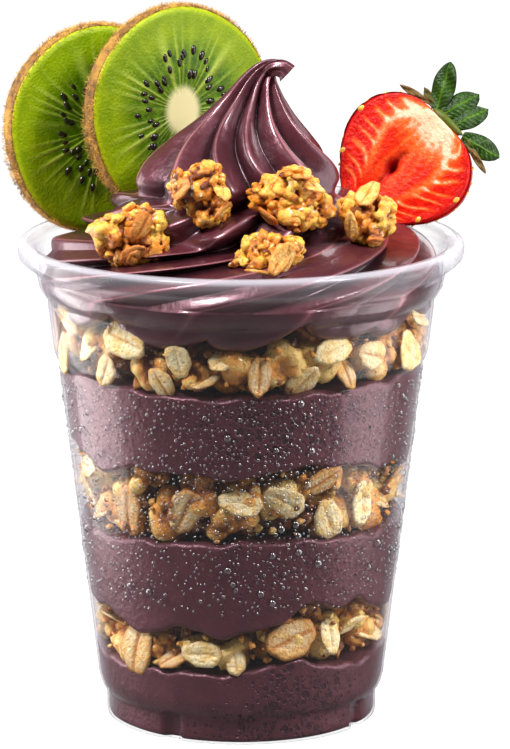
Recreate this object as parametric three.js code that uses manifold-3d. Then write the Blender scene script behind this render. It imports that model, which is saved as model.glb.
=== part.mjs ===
// A clear plastic cup of layered acai and granola, topped with a soft-serve acai swirl,
// two kiwi slices, half a strawberry and five granola clusters.
// Millimetres, +Z up. The origin is the centre of the cup's flat underside, the front is -Y,
// and a "turn" is the angle round the cup from the front, positive towards +X.

import * as THREE from 'three';
import { mergeVertices } from 'three/addons/utils/BufferGeometryUtils.js';
import Module from 'manifold-3d';

const wasm = await Module();
wasm.setup();

const radians = THREE.MathUtils.degToRad;
const mix = THREE.MathUtils.lerp;
const smoothstep = THREE.MathUtils.smoothstep;

// ---- Driving dimensions ------------------------------------------------------------------

const GAP = 0.3;                    // clearance between pieces that touch
const WALL_GAP = 0.4;               // clearance to the cup's wall, with the same columns
const UNEVEN_GAP = 0.6;             // clearance to the cup's wall, with other columns

const CUP_WALL = 0.6;
const CUP_FLOOR = 0.8;
const CUP_SEGMENTS = 40;
const NOTCH_FIRST_TURN = -31;       // stacking notches in the foot, degrees from the front
const NOTCH_COUNT = 4;
const NOTCH_HALF_WIDTH = 2.6;
const NOTCH_DEPTH = 0.8;
const NOTCH_TOP = 5.8;
const NOTCH_CROWDING = 0.45;        // how much closer the wall's columns stand at a notch

const BASE_TOP = 16.2;              // mean levels of the layers' upper sides
const LOW_GRANOLA_TOP = 27.2;
const MIDDLE_ACAI_TOP = 45.5;
const MIDDLE_GRANOLA_TOP = 61.7;
const UPPER_ACAI_TOP = 80.3;

const SWIRL_LOBES = 11;
const SWIRL_SEGMENTS = 5 * SWIRL_LOBES;
const SWIRL_UNDERSIDE = 96.5;       // where the lowest fold leaves the wall, between its lobes
const GRANOLA_DISH = 3.0;           // how far the top granola sinks away from it at the middle
const SWIRL_STEPS = 21;             // rings between the wall and the tip

const KIWI_FRONT_RADIUS = 23.5;
const KIWI_BACK_RADIUS = 23.1;
const KIWI_THICKNESS = 5.0;
const KIWI_YAW = 35;

const BERRY_LENGTH = 29;
const BERRY_RADIUS = 15.8;

// ---- Solids and meshes -------------------------------------------------------------------

// A closed geometry as a solid, with shared corners merged and collapsed triangles dropped.
function toSolid(geometry) {
  const bare = geometry.clone();
  bare.deleteAttribute('normal');
  bare.deleteAttribute('uv');
  const merged = mergeVertices(bare, 1e-4);
  const index = merged.index.array;
  const kept = [];
  for (let i = 0; i < index.length; i += 3) {
    const [a, b, c] = [index[i], index[i + 1], index[i + 2]];
    if (a !== b && b !== c && c !== a) {
      kept.push(a, b, c);
    }
  }
  return new wasm.Manifold(new wasm.Mesh({
    numProp: 3,
    vertProperties: new Float32Array(merged.attributes.position.array),
    triVerts: new Uint32Array(kept),
  }));
}

function toGeometry(solid) {
  const mesh = solid.getMesh();
  const geometry = new THREE.BufferGeometry();
  geometry.setAttribute('position', new THREE.BufferAttribute(mesh.vertProperties, 3));
  geometry.setIndex(new THREE.BufferAttribute(mesh.triVerts, 1));
  geometry.computeVertexNormals();
  return geometry;
}

// Revolves [radius, height] pairs about Z, starting at a given turn.
function revolve(profile, segments, start = 0) {
  const points = profile.map(([radius, height]) => new THREE.Vector2(radius, height));
  return new THREE.LatheGeometry(points, segments, start).rotateX(Math.PI / 2);
}

// Cuts the quads of a lathe's first rows along their other diagonal, so that a block's lower
// side has the same facets as the upper side of the block below it.
function turnDiagonals(lathe, pointCount, rows) {
  const index = lathe.index;
  for (let i = 0; i < index.count; i += 6) {
    if ((i / 6) % (pointCount - 1) < rows) {
      const [a, b, d, c] = [0, 1, 2, 3].map((corner) => index.getX(i + corner));
      index.array.set([a, b, c, a, c, d], i);
    }
  }
  return lathe;
}

// Moves every vertex of a geometry to the place that a function gives for it.
function reshape(geometry, place) {
  const position = geometry.attributes.position;
  const point = new THREE.Vector3();
  for (let i = 0; i < position.count; i++) {
    place(point.fromBufferAttribute(position, i));
    position.setXYZ(i, point.x, point.y, point.z);
  }
  return geometry;
}

function turnOf(point) {
  return Math.atan2(point.x, -point.y);
}

function setAround(point, turn, radius, height) {
  return point.set(radius * Math.sin(turn), -radius * Math.cos(turn), height);
}

function material(color, roughness) {
  return new THREE.MeshStandardMaterial({ color, roughness, metalness: 0 });
}

const acaiFinish = material(0x4c3038, 0.32);
const granolaFinish = material(0xb67f3c, 0.75);
const kiwiFinish = material(0x8bb32e, 0.45);
const strawberryFinish = material(0xc2261c, 0.4);
const leafFinish = material(0x2f6b2c, 0.55);
const clearFinish = new THREE.MeshStandardMaterial({
  color: 0xe9eff2, roughness: 0.08, metalness: 0, transparent: true, opacity: 0.25,
});

const cupOfAcai = new THREE.Group();

function addPiece(name, solid, finish) {
  const mesh = new THREE.Mesh(toGeometry(solid), finish.clone());
  mesh.name = name;
  cupOfAcai.add(mesh);
  return mesh;
}

// ---- The cup -----------------------------------------------------------------------------

// The outer side from the foot to the neck under the rim: a foot ring, a straight taper,
// a step that strengthens the wall, and a shoulder.
const wallOutline = [
  [29.3, 0], [29.9, 1.2], [29.9, 5.8], [30.8, 6.8], [31.8, 10.5],
  [39.7, 77.0], [40.4, 80.6], [41.3, 83.2], [42.4, 92.6], [43.9, 96.2], [44.9, 99.8],
];

// The bead of the rim, from under its outer edge over the top to the inner wall.
const rimOutline = [
  [48.1, 102.8], [49.0, 104.4], [48.8, 106.4], [47.4, 107.0], [45.8, 106.5], [45.0, 105.0],
  [44.5, 101.0],
];

function outlineRadius(height) {
  const last = wallOutline.length - 1;
  for (let i = 0; i < last; i++) {
    const [lowRadius, low] = wallOutline[i];
    const [highRadius, high] = wallOutline[i + 1];
    if (height <= high) {
      return mix(lowRadius, highRadius, (height - low) / (high - low));
    }
  }
  return wallOutline[last][0];
}

const notchStart = radians(NOTCH_FIRST_TURN);

// The columns of vertices round the cup stand closer together at the notches.
function crowdedTurn(turn) {
  return turn - NOTCH_CROWDING * Math.sin(NOTCH_COUNT * (turn - notchStart)) / NOTCH_COUNT;
}

// How far the wall is pressed in at the foot's stacking notches.
function notchDepth(turn, height) {
  if (height < 0.1 || height > NOTCH_TOP + 0.1) {
    return 0;
  }
  const spacing = 2 * Math.PI / NOTCH_COUNT;
  const offset = turn - notchStart;
  const nearest = Math.abs(offset - spacing * Math.round(offset / spacing));
  const across = nearest * outlineRadius(height) / NOTCH_HALF_WIDTH;
  return NOTCH_DEPTH * (1 - smoothstep(across, 0.3, 1));
}

function innerRadius(turn, height) {
  return outlineRadius(height) - CUP_WALL - notchDepth(turn, height);
}

function makeCup() {
  const innerWall = wallOutline
    .filter(([, height]) => height > CUP_FLOOR)
    .map(([radius, height]) => [radius - CUP_WALL, height])
    .reverse();
  const profile = [
    [0, 0], ...wallOutline, ...rimOutline, ...innerWall,
    [outlineRadius(CUP_FLOOR) - CUP_WALL, CUP_FLOOR], [0, CUP_FLOOR],
  ];
  const shell = revolve(profile, CUP_SEGMENTS, notchStart);
  reshape(shell, (point) => {
    const radius = Math.hypot(point.x, point.y);
    if (radius > 0.8 * wallOutline[0][0]) {
      const turn = crowdedTurn(turnOf(point));
      setAround(point, turn, radius - notchDepth(turn, point.z), point.z);
    }
  });
  return toSolid(shell);
}

// ---- The layers --------------------------------------------------------------------------

// Degrees from one turn round the cup to another, between -180 and 180.
function degreesFrom(turn, middle) {
  const away = THREE.MathUtils.radToDeg(turn) - middle;
  return THREE.MathUtils.euclideanModulo(away + 180, 360) - 180;
}

// A layer's uneven boundary at the wall: a mean level and its bumps and dips, each with the
// turn it stands at, how far it rises, and its width in degrees.
function uneven(mean, bumps) {
  return (turn) => bumps.reduce((height, [middle, rise, width]) => (
    height + rise * Math.exp(-((degreesFrom(turn, middle) / width) ** 2))), mean);
}

const baseTop = uneven(BASE_TOP, [
  [20, 3.1, 15], [-57, -0.4, 10], [78, 1.0, 12], [120, -1.2, 18],
  [165, 2.2, 16], [-150, -1.0, 20], [-105, 1.8, 16],
]);
const lowGranolaTop = uneven(LOW_GRANOLA_TOP, [
  [-41, -3.7, 11], [-7, -2.6, 12], [29, 4.9, 10], [50, 3.8, 8], [75, -1.2, 10],
  [112, -3.0, 13], [150, 2.6, 14], [-160, -3.0, 14], [-112, 2.2, 14],
]);
const middleAcaiTop = uneven(MIDDLE_ACAI_TOP, [
  [14, 1.2, 34], [-60, -0.7, 10], [110, 1.0, 18], [-150, 1.3, 25],
]);
const middleGranolaTop = uneven(MIDDLE_GRANOLA_TOP, [
  [-54, -2.4, 9], [-2, -1.3, 7], [23, 1.5, 15], [58, -1.8, 10], [78, -3.4, 9],
  [-76, 1.4, 8], [118, 1.2, 14], [160, -2.4, 13], [-122, -2.0, 13],
]);
const upperAcaiTop = uneven(UPPER_ACAI_TOP, [
  [-8, -1.1, 34], [72, 0.5, 12], [150, -1.0, 22], [-110, 0.6, 20],
]);

// The lobes that the swirl's underside hangs in at the wall. Each has the turn and height of
// its tip and how many degrees it reaches to either side.
const swirlLobes = [
  [-86, 90.6, 17], [-54.5, 91.0, 17], [-17.7, 89.6, 22], [7.2, 89.7, 17], [41, 91.1, 20],
  [58.7, 90.2, 14], [95, 90.5, 22], [130, 91.2, 20], [163, 89.8, 20], [-163, 90.8, 19],
  [-125, 89.9, 23],
];

function swirlUnderside(turn) {
  return Math.min(SWIRL_UNDERSIDE, ...swirlLobes.map(([middle, tip, reach]) => (
    mix(tip, SWIRL_UNDERSIDE, (Math.abs(degreesFrom(turn, middle)) / reach) ** 2.4))));
}

// A boundary flattens towards its mean level at the middle of the cup.
function boundaryHeight(boundary, mean, turn, share) {
  return mix(mean, boundary(turn), share * share);
}

// Marks in a block's profile for its two boundaries. Any other number there is a height.
const LOWER = -2;
const UPPER = -1;
const LOWER_ROWS = 2;               // rows of quads that make up a block's lower side
const EDGE = 0.1;                   // least height between a boundary and a bend of the wall

// A layer between two boundaries that fills the cup out to its wall, with a ring at each
// height where the wall bends. Its columns stand as the cup's do, or evenly where it meets
// the swirl's.
function makeLayer(bottom, bottomMean, top, topMean, bends = [], underSwirl = false) {
  const sides = [LOWER, ...bends, UPPER].map((mark) => [1, mark]);
  const profile = [[0, LOWER], [0.6, LOWER], ...sides, [0.6, UPPER], [0, UPPER]];
  const block = underSwirl ? revolve(profile, SWIRL_SEGMENTS)
    : revolve(profile, CUP_SEGMENTS, notchStart);
  turnDiagonals(block, profile.length, LOWER_ROWS);
  const wallGap = underSwirl ? UNEVEN_GAP : WALL_GAP;
  reshape(block, (point) => {
    const share = Math.min(1, Math.hypot(point.x, point.y));
    const turn = underSwirl ? turnOf(point) : crowdedTurn(turnOf(point));
    const low = boundaryHeight(bottom, bottomMean, turn, share) + GAP / 2;
    const high = boundaryHeight(top, topMean, turn, share) - GAP / 2;
    const heights = { [LOWER]: low, [UPPER]: high };
    const height = heights[point.z] ?? Math.min(point.z, high - EDGE);
    setAround(point, turn, share * (innerRadius(turn, height) - wallGap), height);
  });
  return toSolid(block);
}

function addLayers() {
  const floor = () => CUP_FLOOR;
  addPiece('acai_base',
    makeLayer(floor, CUP_FLOOR, baseTop, BASE_TOP, [5.8, 6.8, 10.5]), acaiFinish);
  addPiece('granola_low',
    makeLayer(baseTop, BASE_TOP, lowGranolaTop, LOW_GRANOLA_TOP), granolaFinish);
  addPiece('acai_middle',
    makeLayer(lowGranolaTop, LOW_GRANOLA_TOP, middleAcaiTop, MIDDLE_ACAI_TOP), acaiFinish);
  addPiece('granola_middle',
    makeLayer(middleAcaiTop, MIDDLE_ACAI_TOP, middleGranolaTop, MIDDLE_GRANOLA_TOP),
    granolaFinish);
  addPiece('acai_upper',
    makeLayer(middleGranolaTop, MIDDLE_GRANOLA_TOP, upperAcaiTop, UPPER_ACAI_TOP), acaiFinish);
  addPiece('granola_upper',
    makeLayer(upperAcaiTop, UPPER_ACAI_TOP, swirlUnderside, SWIRL_UNDERSIDE - GRANOLA_DISH,
      [83.2, 92.6], true), granolaFinish);
}

// ---- The swirl ---------------------------------------------------------------------------

// Stations from the wall to the tip. Each has the radius and height of the swirl's surface,
// how far its folds have wound round (in degrees), their depth, the sideways lean of its
// centre, and the tilt of its ring where the tip hooks over (in degrees).
const swirlStations = [
  { radius: 43.2, height: 99.0, wind: 20, depth: 0.6, lean: 0, tilt: 0 },
  { radius: 43.0, height: 103.4, wind: 46, depth: 1.4, lean: 0, tilt: 0 },
  { radius: 39.8, height: 107.2, wind: 74, depth: 2.2, lean: 0, tilt: 0 },
  { radius: 33.4, height: 109.4, wind: 100, depth: 2.4, lean: 0, tilt: 0 },
  { radius: 29.2, height: 110.4, wind: 114, depth: 2.0, lean: -0.4, tilt: 0 },
  { radius: 29.6, height: 113.2, wind: 124, depth: 2.4, lean: -0.8, tilt: 0 },
  { radius: 26.6, height: 116.2, wind: 136, depth: 2.6, lean: -1.0, tilt: 0 },
  { radius: 21.8, height: 117.4, wind: 150, depth: 2.2, lean: -1.0, tilt: 0 },
  { radius: 22.4, height: 120.8, wind: 154, depth: 2.8, lean: -0.8, tilt: 0 },
  { radius: 20.4, height: 124.6, wind: 148, depth: 3.6, lean: -0.4, tilt: 0 },
  { radius: 15.6, height: 129.2, wind: 138, depth: 3.6, lean: 0.4, tilt: 0 },
  { radius: 10.6, height: 133.8, wind: 130, depth: 2.9, lean: 1.6, tilt: 0 },
  { radius: 6.6, height: 138.4, wind: 126, depth: 1.8, lean: 3.0, tilt: 4 },
  { radius: 3.9, height: 142.3, wind: 124, depth: 0.9, lean: 4.4, tilt: 18 },
  { radius: 2.2, height: 144.6, wind: 124, depth: 0.4, lean: 6.4, tilt: 55 },
  { radius: 1.3, height: 145.0, wind: 124, depth: 0.2, lean: 8.7, tilt: 100 },
  { radius: 0.5, height: 143.9, wind: 124, depth: 0, lean: 10.2, tilt: 135 },
];

// At the back the swirl keeps clear of the wall, which leaves a space under the rim.
const BACK_CLEARANCE = 5.0;
const BACK_HALF_TURN = 52;

function backClearance(turn, height) {
  const fromBack = Math.PI - Math.abs(turn);
  const round = 1 - smoothstep(fromBack, radians(0.6 * BACK_HALF_TURN), radians(BACK_HALF_TURN));
  return BACK_CLEARANCE * round * smoothstep(height, 97.5, 100.5);
}

// Rounded ridges with sharp creases between them, each leaning over its neighbour.
function foldShape(phase) {
  const leaning = phase + 0.5 * Math.sin(phase);
  return 1 - Math.abs(Math.cos(leaning / 2));
}

// Smooth values of all the stations' numbers at a share of the way from the wall to the tip.
function stationAt(share) {
  const keys = Object.keys(swirlStations[0]);
  const place = share * (swirlStations.length - 1);
  const first = Math.min(Math.floor(place), swirlStations.length - 2);
  const at = (i) => swirlStations[THREE.MathUtils.clamp(i, 0, swirlStations.length - 1)];
  const t = place - first;
  const smooth = (key) => {
    const [p0, p1, p2, p3] = [-1, 0, 1, 2].map((i) => at(first + i)[key]);
    const bend = (3 * p1 - p0 - 3 * p2 + p3) * t + (2 * p0 - 5 * p1 + 4 * p2 - p3);
    return p1 + 0.5 * t * ((p2 - p0) + t * bend);
  };
  return Object.fromEntries(keys.map((key) => [key, smooth(key)]));
}

// A column slips sideways by less than its spacing, so that it stands on a fixed place of
// a ridge at every ring however far the folds have wound round.
function swirlPoint(point, column, share) {
  const { radius, height, wind, depth, lean, tilt } = stationAt(share);
  const spacing = 2 * Math.PI / SWIRL_SEGMENTS;
  const slip = radians(wind) - spacing * Math.round(radians(wind) / spacing);
  const turn = column + slip;
  const crease = depth * foldShape(SWIRL_LOBES * (turn - radians(wind)));
  const reach = radius - crease - backClearance(Math.atan2(Math.sin(turn), Math.cos(turn)), height);
  setAround(point, turn, Math.max(reach, 0), 0);
  const sideways = point.x;
  point.x = lean + sideways * Math.cos(radians(tilt));
  point.z = height - sideways * Math.sin(radians(tilt));
}

// The swirl's underside lies on the granola, its side touches the wall up to the shoulder,
// and the stations carry on from there. Its rings are marked by their place in this list.
function makeSwirl() {
  const bends = [92.6, 95.6];
  const firstStation = 3 + bends.length;
  const shares = [0, 0.6, 1, ...bends.map(() => 1), ...Array(SWIRL_STEPS).fill(1), 0];
  const body = revolve(shares.map((share, ring) => [share, ring]), SWIRL_SEGMENTS);
  turnDiagonals(body, shares.length, LOWER_ROWS);
  const tip = swirlStations.at(-1);
  reshape(body, (point) => {
    const share = Math.min(1, Math.hypot(point.x, point.y));
    const turn = turnOf(point);
    const ring = Math.round(point.z);
    if (ring === shares.length - 1) {
      point.set(tip.lean, 0, tip.height - tip.radius);
    } else if (ring >= firstStation) {
      swirlPoint(point, turn, (ring - firstStation) / (SWIRL_STEPS - 1));
    } else {
      const low = boundaryHeight(swirlUnderside, SWIRL_UNDERSIDE, turn, share) + GAP / 2;
      const bend = ring - 3;
      const height = bend < 0 ? low : Math.max(bends[bend], low + EDGE * (bend + 1));
      setAround(point, turn, share * (innerRadius(turn, height) - UNEVEN_GAP), height);
    }
  });
  return toSolid(body);
}

// ---- The toppings ------------------------------------------------------------------------

// Places a topping and gives its mesh. Its solid, a little larger, is also cut from the swirl.
const cutters = [];

function addTopping(name, solid, finish, position, rotation, growth = [1, 1, 1]) {
  const mesh = addPiece(name, solid, finish);
  mesh.position.set(...position);
  mesh.rotation.copy(rotation);
  mesh.updateMatrix();
  const grown = mesh.geometry.clone().scale(...growth).applyMatrix4(mesh.matrix);
  cutters.push(toSolid(grown));
  return mesh;
}

function euler(x, y, z, order = 'XYZ') {
  return new THREE.Euler(radians(x), radians(y), radians(z), order);
}

// A round slice lying in the XZ plane, with its rim slightly crowned.
function makeKiwiSlice(radius) {
  const half = KIWI_THICKNESS / 2;
  const profile = [
    [0, -half], [radius - 0.5, -half], [radius, -0.45 * half],
    [radius, 0.45 * half], [radius - 0.5, half], [0, half],
  ];
  return toSolid(revolve(profile, 26).rotateX(Math.PI / 2));
}

function addKiwis() {
  const growthOf = (radius) => {
    const flat = (radius + GAP) / radius;
    return [flat, 1 + 2 * GAP / KIWI_THICKNESS, flat];
  };
  addTopping('kiwi_slice_front', makeKiwiSlice(KIWI_FRONT_RADIUS), kiwiFinish,
    [-14.2, 17.2, 132.4], euler(-2, 0, KIWI_YAW, 'ZXY'), growthOf(KIWI_FRONT_RADIUS));
  addTopping('kiwi_slice_back', makeKiwiSlice(KIWI_BACK_RADIUS), kiwiFinish,
    [-32.2, 23.4, 127.6], euler(-2, 0, KIWI_YAW - 2, 'ZXY'), growthOf(KIWI_BACK_RADIUS));
}

// A lump of a few grains stuck together: a ball with knobs, worked out from its own seed.
function makeCluster([width, depth, height], seed) {
  const ball = new THREE.IcosahedronGeometry(0.5, 1);
  reshape(ball, (point) => {
    const knobs = Math.sin(9 * point.x + seed) * Math.sin(8 * point.y + 2 * seed)
      + Math.sin(10 * point.z + 3 * seed) * Math.cos(7 * point.x - seed);
    point.multiplyScalar(1 + 0.11 * knobs);
    point.set(point.x * width, point.y * depth, point.z * height);
  });
  return toSolid(ball);
}

function addClusters() {
  const clusters = [
    { size: [18.0, 14.0, 14.5], position: [-23.3, -24.5, 112.0], seed: 1 },
    { size: [14.5, 13.0, 15.8], position: [-8.3, -24.0, 120.6], seed: 2 },
    { size: [18.6, 14.0, 16.4], position: [11.4, -23.0, 119.9], seed: 3 },
    { size: [16.4, 13.0, 12.6], position: [5.8, -34.0, 109.0], seed: 4 },
    { size: [14.6, 13.0, 13.2], position: [27.3, -19.5, 115.2], seed: 5 },
  ];
  clusters.forEach(({ size, position, seed }, i) => {
    const growth = size.map((length) => 1 + 2.6 * GAP / length);
    addTopping(`granola_cluster_${i + 1}`, makeCluster(size, seed), granolaFinish,
      position, euler(0, 0, 0), growth);
  });
}

// The strawberry's own frame has its tip at -Z, its calyx at +Z and its cut face at Y = 0.
const CALYX_SET_BACK = 2.4;
const BERRY_POSITION = [34.0, 6.0, 121.6];
const BERRY_ROTATION = euler(-16, 43, -13, 'ZXY');

function berryRadius(share) {
  const shoulder = Math.sqrt(Math.max(0, 1 - Math.max(0, (share - 0.62) / 0.38) ** 2));
  return BERRY_RADIUS * Math.sin(Math.min(share / 0.62, 1) * Math.PI / 2) ** 0.72
    * mix(0.3, 1, shoulder);
}

function makeHalfBerry() {
  const rings = 11;
  const profile = Array.from({ length: rings }, (_, i) => {
    const share = i / (rings - 1);
    return [berryRadius(share), (share - 0.5) * BERRY_LENGTH];
  });
  profile.push([0, profile.at(-1)[1] - 1.2]);
  const whole = toSolid(revolve(profile, 26));
  const room = 2 * BERRY_LENGTH;
  const behind = new THREE.BoxGeometry(room, room, room).translate(0, room / 2, 0);
  return whole.intersect(toSolid(behind));
}

// A pointed blade along +Z with a thin diamond section, bending towards +Y.
function makeBlade(length, width, bend) {
  const steps = 3;
  const thickness = 0.7;
  const profile = Array.from({ length: steps + 1 }, (_, i) => [1, i / steps]);
  const blade = revolve([[0, 0], ...profile, [0, 1]], 4);
  return reshape(blade, (point) => {
    const along = point.z;
    const share = Math.sin(Math.PI * Math.min(1, 0.16 + 0.84 * along)) ** 0.8 + 0.04;
    const angle = radians(bend) * along;
    const lift = point.y * thickness / 2;
    point.set(point.x * share * width / 2,
      length * along * Math.sin(angle) + lift * Math.cos(angle),
      length * along * Math.cos(angle) - lift * Math.sin(angle));
  });
}

function addStrawberry() {
  addTopping('strawberry_half', makeHalfBerry(), strawberryFinish, BERRY_POSITION, BERRY_ROTATION,
    [1.022, 1.022, 1.022]);
  const leaves = [
    { place: -5.4, length: 8.6, width: 1.8, bend: 10, fan: -104 },
    { place: -4.4, length: 5.0, width: 1.4, bend: 10, fan: -72 },
    { place: -3.3, length: 11.0, width: 4.8, bend: -6, fan: -29 },
    { place: -1.5, length: 9.6, width: 4.8, bend: 16, fan: 12 },
    { place: 2.0, length: 9.2, width: 4.2, bend: 24, fan: 14 },
    { place: 5.0, length: 9.6, width: 4.6, bend: 20, fan: 74 },
    { place: 6.4, length: 8.4, width: 1.8, bend: 10, fan: 104 },
  ];
  const collar = new THREE.BoxGeometry(13.4, 2.4, 1.2).translate(0.6, CALYX_SET_BACK, 0);
  const calyx = leaves.reduce((joined, { place, length, width, bend, fan }) => {
    const blade = makeBlade(length, width, bend).rotateY(radians(fan));
    return joined.add(toSolid(blade.translate(place, CALYX_SET_BACK, 0)));
  }, toSolid(collar));
  const seat = BERRY_LENGTH / 2 + GAP + 0.8;
  const placed = new THREE.Matrix4().makeRotationFromEuler(BERRY_ROTATION);
  const position = new THREE.Vector3(0, 0, seat).applyMatrix4(placed)
    .add(new THREE.Vector3(...BERRY_POSITION));
  addTopping('strawberry_calyx', calyx, leafFinish, position.toArray(), BERRY_ROTATION);
}

// ---- The whole ---------------------------------------------------------------------------

addPiece('cup', makeCup(), clearFinish);
addLayers();
addKiwis();
addClusters();
addStrawberry();
const swirl = cutters.reduce((solid, cutter) => solid.subtract(cutter), makeSwirl());
addPiece('acai_swirl', swirl, acaiFinish);

export default cupOfAcai;
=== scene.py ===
"""Looks of a layered acai cup: the clear cup, its layers, the swirl, the fruit and the clusters.

Metres, +Z up, the origin at the centre of the cup's base and the front towards -Y. A turn is an
angle round the cup: 0 at the front, positive towards +X.
"""

import math

import bmesh
import bpy
import numpy as np
from mathutils import Matrix, Vector


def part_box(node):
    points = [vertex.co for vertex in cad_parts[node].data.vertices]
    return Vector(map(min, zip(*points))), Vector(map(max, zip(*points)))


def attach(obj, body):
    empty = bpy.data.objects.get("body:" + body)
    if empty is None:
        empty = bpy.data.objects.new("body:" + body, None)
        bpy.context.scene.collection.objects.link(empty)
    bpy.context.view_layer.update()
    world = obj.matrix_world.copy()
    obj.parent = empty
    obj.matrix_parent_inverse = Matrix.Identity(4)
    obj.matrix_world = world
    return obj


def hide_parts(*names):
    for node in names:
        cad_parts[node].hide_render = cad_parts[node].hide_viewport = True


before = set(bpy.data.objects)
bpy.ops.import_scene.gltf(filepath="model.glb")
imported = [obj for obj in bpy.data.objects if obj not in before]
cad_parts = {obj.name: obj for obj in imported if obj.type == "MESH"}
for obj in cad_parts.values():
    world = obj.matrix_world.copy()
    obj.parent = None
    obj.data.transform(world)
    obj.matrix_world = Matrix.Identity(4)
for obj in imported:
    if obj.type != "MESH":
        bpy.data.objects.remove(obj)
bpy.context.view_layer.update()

# ---- sizes

WALL = 0.0006
FOOT_RADIUS = 0.0299
NOTCH_TURNS = (-31, 59, 149, -121)
NOTCH_HALF_WIDTH = 0.0026
NOTCH_DEPTH = 0.0013
NOTCH_TOP = 0.0058

# The cup's outside, as (radius, height) from the edge of its base up to the rim's inner lip.
FOOT = ((0.0293, 0.0), (0.02975, 0.00035), (0.0299, 0.0012), (0.0299, 0.0056), (0.0302, 0.0063),
        (0.0308, 0.0068), (0.0312, 0.0077), (0.0317, 0.0095), (0.0319, 0.0114))
TAPER = ((0.0396, 0.0760), (0.0400, 0.0785), (0.0400, 0.0799), (0.0403, 0.0806), (0.0407, 0.0812),
         (0.0412, 0.0826), (0.0416, 0.0853), (0.0419, 0.0880), (0.0424, 0.0920), (0.0425, 0.0943))
SHOULDER = ((0.0427, 0.0948), (0.0432, 0.0952), (0.0438, 0.0961), (0.04435, 0.0970),
            (0.0449, 0.0997), (0.0450, 0.1006))
RIM = ((0.0464, 0.1015), (0.0481, 0.1028), (0.0487, 0.1034), (0.0490, 0.1044), (0.0490, 0.1056),
       (0.04875, 0.1064), (0.0481, 0.1069), (0.0470, 0.1070), (0.0461, 0.1067), (0.0456, 0.1059))
OUTSIDE = np.array(FOOT + TAPER + SHOULDER)
CUP_COLUMNS = 360

# Each edge of a layer is a mean height and its bumps, as (turn, rise, width in degrees).
BASE_BOTTOM = (0.0003, ())
BASE_TOP = (0.0162, ((20, 0.0031, 15), (-57, -0.0004, 10), (78, 0.001, 12), (120, -0.0012, 18),
                     (165, 0.0022, 16), (-150, -0.001, 20), (-105, 0.0018, 16)))
MIDDLE_BOTTOM = (0.0272, ((-41, -0.0037, 11), (-7, -0.0026, 12), (29, 0.0049, 10), (50, 0.0038, 8),
                          (75, -0.0012, 10), (112, -0.003, 13), (150, 0.0026, 14),
                          (-160, -0.003, 14), (-112, 0.0022, 14)))
MIDDLE_TOP = (0.0455, ((14, 0.0012, 34), (-60, -0.0007, 10), (110, 0.001, 18), (-150, 0.0013, 25)))
UPPER_BOTTOM = (0.0617, ((-54, -0.0024, 9), (-2, -0.0013, 7), (23, 0.0015, 15), (58, -0.0018, 10),
                         (78, -0.0034, 9), (-76, 0.0014, 8), (118, 0.0012, 14),
                         (160, -0.0024, 13), (-122, -0.002, 13)))
UPPER_TOP = (0.0803, ((-8, -0.0011, 34), (72, 0.0005, 12), (150, -0.001, 22), (-110, 0.0006, 20)))
# Each acai layer's bottom, top and airy patches: turn, height, width in degrees, height spread
# and strength.
ACAI_LAYERS = {
    "base": (BASE_BOTTOM, BASE_TOP, (
        (24, 0.011, 30, 0.010, 1.0), (8, 0.004, 34, 0.004, 0.6), (150, 0.010, 30, 0.008, 0.7),
        (-140, 0.009, 30, 0.008, 0.4), (-40, 0.009, 40, 0.02, 0.2))),
    "middle": (MIDDLE_BOTTOM, MIDDLE_TOP, (
        (20, 0.040, 40, 0.009, 0.6), (160, 0.04, 40, 0.008, 0.5), (-100, 0.038, 25, 0.01, 0.4))),
    "upper": (UPPER_BOTTOM, UPPER_TOP, (
        (14, 0.073, 40, 0.009, 1.0), (-150, 0.07, 40, 0.008, 0.6), (110, 0.072, 30, 0.008, 0.6))),
}

OAT_THICKNESS = 0.0009
# Each topping cluster's lumps: offset and size, in halves of its CAD box.
CLUSTERS = (
    (((-0.5, 0, 0.05), 0.55), ((0.35, 0, 0.3), 0.6), ((0.45, -0.1, -0.3), 0.55),
     ((-0.15, 0, -0.4), 0.58)),
    (((0.15, 0, 0.45), 0.62), ((-0.4, 0, 0.15), 0.6), ((0.2, 0, -0.35), 0.64)),
    (((-0.45, 0, 0.2), 0.58), ((0.05, 0, 0.4), 0.58), ((0.1, -0.1, -0.3), 0.6),
     ((0.5, 0, -0.2), 0.5)),
    (((-0.45, 0, -0.2), 0.6), ((0.35, 0, 0.25), 0.64), ((-0.2, 0, 0.3), 0.5)),
    (((-0.35, 0, 0.2), 0.62), ((0.3, 0, 0.1), 0.64), ((0.05, 0, -0.4), 0.6)),
)
STAINED_CLUSTER = 2
STAIN = (-0.25, -0.8, 0.3)

# The swirl's rings: radius, height, turn of the first ridge, fold depth, lean to +X, tilt.
SWIRL = (
    (0.0436, 0.0990, 20, 0.0009, 0, 0), (0.0433, 0.1034, 46, 0.0020, 0, 0),
    (0.0398, 0.1072, 74, 0.0030, 0, 0), (0.0334, 0.1094, 100, 0.0032, 0, 0),
    (0.0292, 0.1104, 114, 0.0030, -0.0004, 0), (0.0296, 0.1132, 124, 0.0032, -0.0008, 0),
    (0.0266, 0.1162, 136, 0.0036, -0.001, 0), (0.0218, 0.1174, 150, 0.0034, -0.001, 0),
    (0.0224, 0.1208, 154, 0.0036, -0.0008, 0), (0.0204, 0.1246, 148, 0.0044, -0.0004, 0),
    (0.0156, 0.1292, 138, 0.0042, 0.0004, 0), (0.0106, 0.1338, 130, 0.0034, 0.0016, 0),
    (0.0066, 0.1384, 126, 0.0022, 0.003, 4), (0.0039, 0.1423, 124, 0.0011, 0.0044, 18),
    (0.0022, 0.1446, 124, 0.0005, 0.0064, 55), (0.0013, 0.1450, 124, 0.0002, 0.0087, 100),
    (0.0005, 0.1439, 124, 0, 0.0102, 135))
LOBES = 11
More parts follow.
